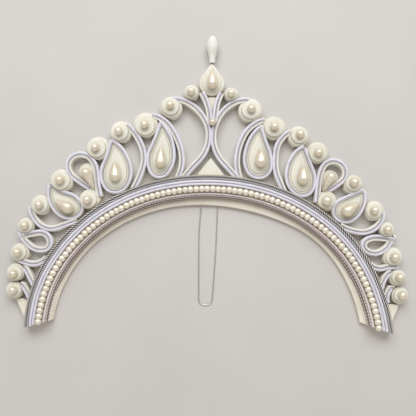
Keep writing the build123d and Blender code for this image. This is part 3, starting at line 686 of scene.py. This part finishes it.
def scroll_strip(build, name, side, number):
    """Strip on edge: wall, satin cord, twisted thread and plain rim on top."""
    path = Path(*strip(name, side))
    rim = RIM_SIDE[name][side == "R"]
    ring = name.startswith("tear")
    if (name, side) in RUN_ON:
        path.stretched(*RUN_ON[name, side])
    wound = number is not None and not ring and name != "crest"
    if wound:
        path.wind_in(*coil(number, side)[:3])

    def drop(ss):
        return 1.6 * np.clip(-np.asarray(ss) / 1.5, 0, 1) ** 1.2

    if ring:
        wall = [(1.42, 0.05), (1.42, 6.35), (-1.38, 6.2), (-1.38, 0.05)]
        radii = (0.1, 0.25, 0.35, 0.1)
        cord_at, thread_at = -0.26, 1.10
    else:
        wall = [(2.2, 0.05), (2.2, 6.95), (0.86, 6.92), (0.78, 6.4), (-2.08, 6.1), (-2.08, 0.05)]
        radii = (0.1, 0.40, 0.22, 0.0, 0.35, 0.1)
        cord_at, thread_at = -1.02, 0.50
    outline = [(rim * u, z) for u, z in rounded(wall, radii, 3)]
    seed = sum(map(ord, name)) + (0 if side == "L" else 50)
    for s0, s1 in visible_spans(path):
        swept(build, path, s0, s1, outline, 0, 0.8, 0.08, seed, drop=drop)
        ss = np.linspace(s0, s1, max(8, int((s1 - s0) / 0.5)))
        f = eased(ss, 5.0 if wound and s0 < 0 else 0.8, 0.8)
        jit = np.array([noise.noise(Vector((s * 0.21, seed, 3.7))) for s in ss])
        x, y, h = path.at(ss, rim * cord_at)
        x, y = x - 0.05 * jit * np.sin(h), y + 0.05 * jit * np.cos(h)
        z = CORD_Z + 0.06 * jit - 0.5 * (1 - f) - drop(ss)
        tube(build, np.c_[x, y, z], 1.10 * CORD_R * (1 + 0.03 * jit) * (0.25 + 0.75 * f), 1, 14)
        rope(
            build, path, s0 + 0.3, s1, rim * thread_at, STRIP_H - (0.28 if ring else 0.16),
            ((2, 0.0, 0.18, 0.27), (2, pi, 0.18, 0.27), (3, pi / 2, 0.26, 0.12), (3, -pi / 2, 0.26, 0.12)),
            3.6, 12, 5, drop=drop,
        )
    return path


def coil_drum(build, x, y, r, dx, dy, pr, seed):
    """A strip wound into a low drum: layered wall, round shoulder, domed top."""
    seg = 72
    rt = r * COIL_STEP
    edge = rt + 0.12
    prof = [
        (0.0, 0.02), (r - 0.25, 0.02), (r, 0.30), (r + 0.02, 1.25), (r - 0.13, 1.5), (r, 1.75),
        (r + 0.02, 2.75), (r - 0.12, 3.0), (r - 0.01, 3.25), (r, 4.35), (r - 0.10, 4.55), (r - 0.02, 4.75),
        (r - 0.05, 5.45), (r - 0.18, 5.95), (r - 0.42, 6.35), (edge + 0.40, 6.75), (edge + 0.10, 6.95),
        (edge - 0.10, 6.90), (edge - 0.34, 6.86), (edge - 0.30, 7.06), (edge - 0.04, 7.24), (edge + 0.03, 7.6), (edge - 0.03, 8.02),
        (edge - 0.20, 8.38), (edge - 0.50, 8.62), (edge - 1.0, 8.76), (edge - 1.35, 8.82), (edge - 1.48, 8.79),
        (edge - 1.62, 8.86), (edge - 2.4, 8.95), (0.5, 9.0), (0.0, 9.0),
    ]
    rows = np.zeros((len(prof), seg, 3))
    for i, (rr, z) in enumerate(prof):
        t = min(1.0, max(0.0, (z - 4.6) / 3.6))
        lean = 0.85 * t * t * (3 - 2 * t)
        lean *= min(1.0, 0.9 * (r - rt) / max(hypot(dx, dy), 0.01))
        for j in range(seg):
            a = 2 * pi * j / seg
            wob = 0.10 * noise.noise(Vector((cos(a) * 1.3, sin(a) * 1.3, seed + z * 0.12)))
            if rr > 0.8:
                wob += 0.14 * (((a * 1.0 + seed * 1.7) / (2 * pi)) % 1.0) - 0.07
            q = max(rr + (wob if rr > 0.8 else 0), 0.02)
            rows[i, j] = (x + dx * lean + q * cos(a), y + dy * lean + q * sin(a), z)
    uvs = np.zeros((len(prof), seg + 1, 2))
    uvs[:, :, 0] = np.linspace(0, 2 * pi * r, seg + 1)[None, :]
    uvs[:, :, 1] = np.linspace(0, 1, len(prof))[:, None]
    build.grid(rows, uvs, 4, True, (True, True))


nodes_done = {}
for label, name, number in SCROLLS:
    nodes_done.setdefault(label, Build(RIM, LAVENDER, SILVER, DARK_THREAD, CREAM))
for label, name, number in SCROLLS:
    b = nodes_done[label]
    for side in "LR":
        scroll_strip(b, name, side, number)
        if number is not None:
            x, y, r, dx, dy, pr = coil(number, side)
            coil_drum(b, x, y, r, dx, dy, pr, number * 2 + (side == "R"))
for label, b in nodes_done.items():
    b.object(label + "_look", label, "shola")


# ----------------------------------------------------------------------- pads
def hull_outline(x, y, r, tx, ty, tr, n=72):
    """Teardrop: two circles and their common tangents, evenly sampled."""
    d = hypot(tx - x, ty - y)
    h = math.atan2(ty - y, tx - x)
    a = math.acos((r - tr) / d)
    pts = []
    for k in range(49):
        ang = h + a + (2 * pi - 2 * a) * k / 48
        pts.append((x + r * cos(ang), y + r * sin(ang)))
    for k in range(13):
        ang = h - a + 2 * a * k / 12
        pts.append((tx + tr * cos(ang), ty + tr * sin(ang)))
    return resample(pts, n)


def resample(pts, n):
    p = np.array(pts + [pts[0]])
    s = np.r_[0, np.cumsum(np.hypot(*np.diff(p, axis=0).T))]
    t = np.linspace(0, s[-1], n, endpoint=False)
    return np.c_[np.interp(t, s, p[:, 0]), np.interp(t, s, p[:, 1])]


def inset(outline, d):
    """Parallel curve inside a closed outline, by distance to all its edges."""
    a = np.roll(outline, 1, 0)
    b = np.roll(outline, -1, 0)
    t = b - a
    t /= np.linalg.norm(t, axis=1)[:, None]
    area = 0.5 * np.sum(outline[:, 0] * b[:, 1] - b[:, 0] * outline[:, 1])
    nrm = np.c_[-t[:, 1], t[:, 0]] * (1 if area > 0 else -1)
    q = outline + nrm * d
    # points that crossed over near the tip are pulled to the middle line
    for i in range(len(q)):
        dist = np.hypot(*(outline - q[i]).T).min()
        if dist < d * 0.92:
            q[i] = np.nan
    ok = ~np.isnan(q[:, 0])
    idx = np.arange(len(q))
    if ok.sum() < 8:
        return None
    for c in (0, 1):
        q[:, c] = np.interp(idx, np.r_[idx[ok] - len(q), idx[ok], idx[ok] + len(q)], np.tile(q[ok, c], 3))
    return q


def pad(build, outline, steps, seed):
    """Layered pad: (inset, z) rows from the rim inwards, then a closing centre."""
    rows, uvs = [], []
    for d, z in steps:
        q = inset(outline, d) if d > 0 else outline
        if q is None:
            break
        ring = [
            (px, py, z + 0.07 * noise.noise(Vector((px * 0.3, py * 0.3, seed)))) for px, py in q
        ]
        rows.append(ring)
        uvs.append([(k / 8, d) for k in range(len(q) + 1)])
    build.grid(np.array(rows), np.array(uvs), 0, True, (True, False))
    n = len(rows[-1])
    ring = list(range(len(build.v) - n, len(build.v)))
    build.fan(ring, np.mean(rows[-1], axis=0) + np.array((0, 0, 0.03)), (0.0, 5.0))


PAD_STEPS = (
    (0.0, 0.05), (0.0, 5.7), (0.10, 6.0), (0.34, 6.14), (0.90, 6.20), (1.40, 6.22), (1.48, 5.75),
    (1.62, 5.75), (1.70, 6.34), (1.95, 6.46), (2.50, 6.50), (3.10, 6.55), (3.20, 6.52), (3.30, 6.54),
    (3.40, 6.66), (3.70, 6.75),
    (4.20, 6.80),
)


def crossing(path, reach=14.0):
    """Lengths at which the path's start and end cross each other."""
    first = [i for i in range(len(path.s)) if path.s[i] < reach]
    last = [i for i in range(len(path.s)) if path.s[i] > path.length - reach]
    best = (9e9, 0, len(path.s) - 1)
    for i in first:
        d = (path.x[last] - path.x[i]) ** 2 + (path.y[last] - path.y[i]) ** 2
        j = int(d.argmin())
        if d[j] < best[0] - 1e-4:
            best = (d[j], i, last[j])
    return best[1], best[2]


def ring_inside(name, side, grow):
    """Outline inside a closed strip, at a distance from its middle line."""
    path = Path(*strip(name, side))
    a, b = crossing(path)
    x, y, h = path.x[a : b + 1], path.y[a : b + 1], path.h[a : b + 1]
    area = 0.5 * np.sum(x * np.roll(y, -1) - np.roll(x, -1) * y)
    turn = 1 if area > 0 else -1
    px, py = x - turn * grow * np.sin(h), y + turn * grow * np.cos(h)
    keep = [
        (u, v) for u, v in zip(px, py) if np.hypot(x - u, y - v).min() > grow * 0.98
    ]
    return resample(keep, 96)


b = Build(CREAM)
for name in ("tear1", "tear2", "tear3"):
    for side in "LR":
        out = ring_inside(name, side, 1.34)
        pad(b, out, PAD_STEPS, ord(side))
b.object("teardrop_pads_look", "teardrop_pads", "shola")

b = Build(CREAM)
for side in "LR":
    out = hull_outline(*next(r[2:] for r in PADS if r[:2] == ("loop", side)), n=96)
    pad(b, out, [(d * 0.62, z) for d, z in PAD_STEPS], ord(side))
b.object("loop_pads_look", "loop_pads", "shola")

b = Build(CREAM)
x, y, r, tx, ty, tr = next(r[2:] for r in PADS if r[0] == "apex")
out = hull_outline(x, y, r, tx, ty, tr, 110)
pad(
    b, out,
    (
        (0.0, 0.05), (0.0, 4.0), (0.15, 4.5), (0.6, 4.95), (1.4, 5.2), (2.1, 5.28), (2.25, 5.22), (2.35, 5.65),
        (2.6, 6.0), (3.2, 6.28), (3.9, 6.40), (4.05, 6.36), (4.15, 6.58), (4.4, 6.71), (4.9, 6.76),
    ),
    3.3,
)
b.object("apex_pad_look", "apex_pad", "shola")


# ----------------------------------------------------------------------- band
b = Build(CARD)
n = 420
o0, o1 = end_span(BAND_PATH, BAND_OUT)
i0, i1 = end_span(LEDGE_PATH)
f = np.linspace(0, 1, n)
ox, oy, oh = BAND_PATH.at(o0 + f * (o1 - o0), BAND_OUT)
ix, iy, ih = LEDGE_PATH.at(i0 + f * (i1 - i0))
rows = []
for k in range(n):
    o, i = Vector((ox[k], oy[k])), Vector((ix[k], iy[k]))
    cut = 0.22 * noise.noise(Vector((f[k] * 60, 1.1, 4.0))) + 0.10 * noise.noise(Vector((f[k] * 260, 5.1, 4.0)))
    u = (i - o).normalized()
    i = i + u * min(0.0, cut)
    w = (i - o).length
    climb = 3.1 * max(0.0, 1 - min(f[k] / 0.095, (1 - f[k]) / 0.11)) ** 0.6   # the card laps up the wall at the ends
    prof = [
        (0.05, 0.02), (w - 0.35, 0.02), (w - 0.08, 0.25), (w, 0.8), (w, 2.2), (w - 0.10, 2.72), (w - 0.40, 2.95),
        (w - 1.6, 2.99), (18.6, 3.0 + 0.2 * climb), (17.3, 3.0 + 0.75 * climb), (16.4, 3.0 + climb), (14.9, 3.0 + climb),
        (14.6, 3.0), (0.05, 3.0),
    ]
    rows.append([(o.x + u.x * d, o.y + u.y * d, z + (0.05 * noise.noise(Vector((f[k] * 90, d, 2.0))) if 2.5 < z < 2.97 else 0)) for d, z in prof])
uvs = np.zeros((n, 15, 2))
uvs[:, :, 0] = (f * (o1 - o0))[:, None]
uvs[:, :, 1] = np.linspace(0, 1, 15)[None, :]
b.grid(rows, uvs, 0, True, (True, True))
b.object("base_plate_look", "base_plate", "shola", angle=55)


def band_cord(build, side, z, r, mat=0, sides=16, count=620, sway=0.08, seed=0.0):
    """Cord along the band, ending just short of its oblique ends."""
    s0, s1 = end_span(BAND_PATH, side)
    ss = np.linspace(s0 + 0.2, s1 - 0.2, count)
    jit = np.array([noise.noise(Vector((s * 0.12, side + seed, 2.2))) for s in ss])
    x, y, h = BAND_PATH.at(ss, side)
    x, y = x - sway * jit * np.sin(h), y + sway * jit * np.cos(h)
    tube(build, np.c_[x, y, z + 0.05 * jit], r * (1 + 0.03 * jit), mat, sides)


b = Build(LAVENDER, ROSE)
for at, r, m in ((3.08, 1.02, 0), (5.14, 1.00, 0), (-3.72, 0.70, 1)):
    band_cord(b, at, BAND_TOP + 0.03 + r, r, m)
b.object("lavender_cords_look", "lavender_cords", "lavender_cord")

b = Build(CREAM_THREAD, DARK_THREAD)
s0, s1 = end_span(BAND_PATH, 8.95)
strands = ((0, 0.0, 0.38, 0.36), (0, pi, 0.38, 0.36), (1, pi / 2, 0.40, 0.34), (1, -pi / 2, 0.40, 0.34))
rope(b, BAND_PATH, s0 + 0.2, s1 - 0.2, 8.95, BAND_TOP + 0.75, strands, 3.7, 12, 7)
b.object("silver_cord_outer", "silver_cords", "silver_cord")
b = Build(SILVER, DARK_THREAD)
s0, s1 = end_span(BAND_PATH, 7.05)
strands = ((0, 0.0, 0.38, 0.38), (0, pi, 0.38, 0.38), (1, pi / 2, 0.42, 0.27), (1, -pi / 2, 0.42, 0.27))
rope(b, BAND_PATH, s0 + 0.2, s1 - 0.2, 7.05, BAND_TOP + 0.86, strands, 3.7, 12, 7)
b.object("silver_cord_inner", None, "silver_cord")

# thin dark cords laid in the gaps beside the inner rope: painted shade, standing in for the shade in those gaps
b = Build(DARK_THREAD)
for at in (8.02, 6.24):
    band_cord(b, at, BAND_TOP + 0.34, 0.24, 0, 8, 520, 0.04, at)
b.object("rope_painted_shade_lines", None, "silver_cord")

# ribbed trim: four wound cords side by side down the slope, every other one darker
b = Build(MAUVE, BROWN)
for k, (at, z, r) in enumerate(((-4.95, 7.75, 0.52), (-5.35, 6.55, 0.66), (-5.75, 5.2, 0.68), (-6.05, 3.85, 0.62))):
    band_cord(b, at, z, r, k % 2, 10, 520, 0.05, k)
b.object("ribbed_trim_look", "ribbed_trim", "mauve_trim")

# seed pearls, strung by hand: a little wider across the row than along it
b = Build(SEED)
pitch = (SEED_TO - SEED_FROM) / (SEED_COUNT - 1)
for i in range(SEED_COUNT):
    x, y, h = BAND_PATH.at(SEED_FROM + i * pitch, SEED_AT)
    k = random.uniform(0.97, 1.02)
    x, y, h = x + random.uniform(-0.10, 0.10), y + random.uniform(-0.10, 0.10), h + random.uniform(-0.10, 0.10)
    z = BAND_TOP + 0.03 + SEED_UP * k
    nu, nv = 22, 12
    rows = np.zeros((nv + 1, nu, 3))
    for a in range(nv + 1):
        th = pi * a / nv
        for c in range(nu):
            ph = 2 * pi * c / nu
            q = max(sin(th), 0.01) * k
            u = SEED_ALONG * q**0.9 * math.copysign(abs(cos(ph)) ** 0.85, cos(ph))
            v = SEED_ACROSS * q**0.9 * math.copysign(abs(sin(ph)) ** 0.92, sin(ph))
            rows[a, c] = (x + u * cos(h) - v * sin(h), y + u * sin(h) + v * cos(h), z - SEED_UP * k * cos(th))
    uvs = np.zeros((nv + 1, nu + 1, 2))
    b.grid(rows, uvs, 0, True, (True, True))
b.object("seed_pearls_look", "seed_pearls", "pearl", angle=80)

# ------------------------------------------------------ CAD nodes that stay
def finish_node(name, mat, bevel=0.0, swell=0.0):
    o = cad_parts[name]
    o.data.materials.clear()
    o.data.materials.append(mat)
    if bevel:
        m = o.modifiers.new("edge", "BEVEL")
        m.width, m.segments, m.limit_method = bevel, 2, "ANGLE"
        m.angle_limit = radians(40)
    if swell:
        m = o.modifiers.new("nacre", "DISPLACE")
        m.strength, m.mid_level = swell, 0.0


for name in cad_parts:
    if "pearl" in name and name != "seed_pearls":
        swell = 0.00020 if name.startswith("coil") else 0.00030 if name.startswith("centre") else 0.0
        finish_node(name, PEARL, 0.0, swell)
finish_node("wire_pin", WIRE)
finish_node("finial", WHITE)
finish_node("band_core", CARD)
finish_node("gusset", CREAM, 0.00025)
finish_node("side_tabs", CARD, 0.00025)

# ------------------------------------------------------------- floor and light
bm = bmesh.new()
bmesh.ops.create_grid(bm, x_segments=2, y_segments=2, size=3.0)
mesh = bpy.data.meshes.new("floor")
bm.to_mesh(mesh)
bm.free()
floor = bpy.data.objects.new("floor", mesh)
floor.location = (0, 0, 0)
m, nt, fb = material("floor_pale")
nt.links.new(ramp(nt, noise_of(nt, obj_coords(nt), 9.0), ((0.3, (0.60, 0.58, 0.56)), (0.7, (0.64, 0.62, 0.60)))), fb.inputs["Base Color"])
fb.inputs["Roughness"].default_value = 0.9
floor.data.materials.append(m)
bpy.context.scene.collection.objects.link(floor)

world = bpy.data.worlds.new("studio")
bpy.context.scene.world = world
world.use_nodes = True
world.node_tree.nodes["Background"].inputs[0].default_value = (1.0, 0.985, 0.97, 1)
world.node_tree.nodes["Background"].inputs[1].default_value = 0.46


def area(name, at, look, size, power, colour):
    d = bpy.data.lights.new(name, "AREA")
    d.shape, d.size, d.size_y = "RECTANGLE", size[0], size[1]
    d.energy, d.color = power, colour
    o = bpy.data.objects.new(name, d)
    o.location = at
    o.rotation_euler = (Vector(look) - Vector(at)).to_track_quat("-Z", "Y").to_euler()
    bpy.context.scene.collection.objects.link(o)


area("window", (0.0, 0.82, 0.98), (0, 0, 0), (1.5, 0.7), 14.5, (1.0, 1.0, 1.0))
area("warm_low", (0.0, -0.8, 0.35), (0, 0, 0), (0.9, 0.3), 0.8, (1.0, 0.80, 0.58))

# --------------------------------------------------------------------- camera
cam = bpy.data.cameras.new("camera")
cam.sensor_width = 36.0
cam.lens = 18.0 / 0.42
cam_o = bpy.data.objects.new("camera", cam)
R = Vector((0.9999025, 0.0139622, 0.0))
U = Vector((-0.0139213, 0.9969719, 0.0765059))
F = Vector((-0.0010682, 0.0764984, -0.9970691))
rot = Matrix((R, U, -F)).transposed()
cam_o.matrix_world = Matrix.Translation(Vector((0.37031, -48.91945 + SHIFT, 353.65063)) * MM) @ rot.to_4x4()
cam.clip_start, cam.clip_end = 0.01, 20
bpy.context.scene.collection.objects.link(cam_o)
bpy.context.scene.camera = cam_o
bpy.context.scene.view_settings.view_transform = "Standard"

bpy.context.view_layer.update()
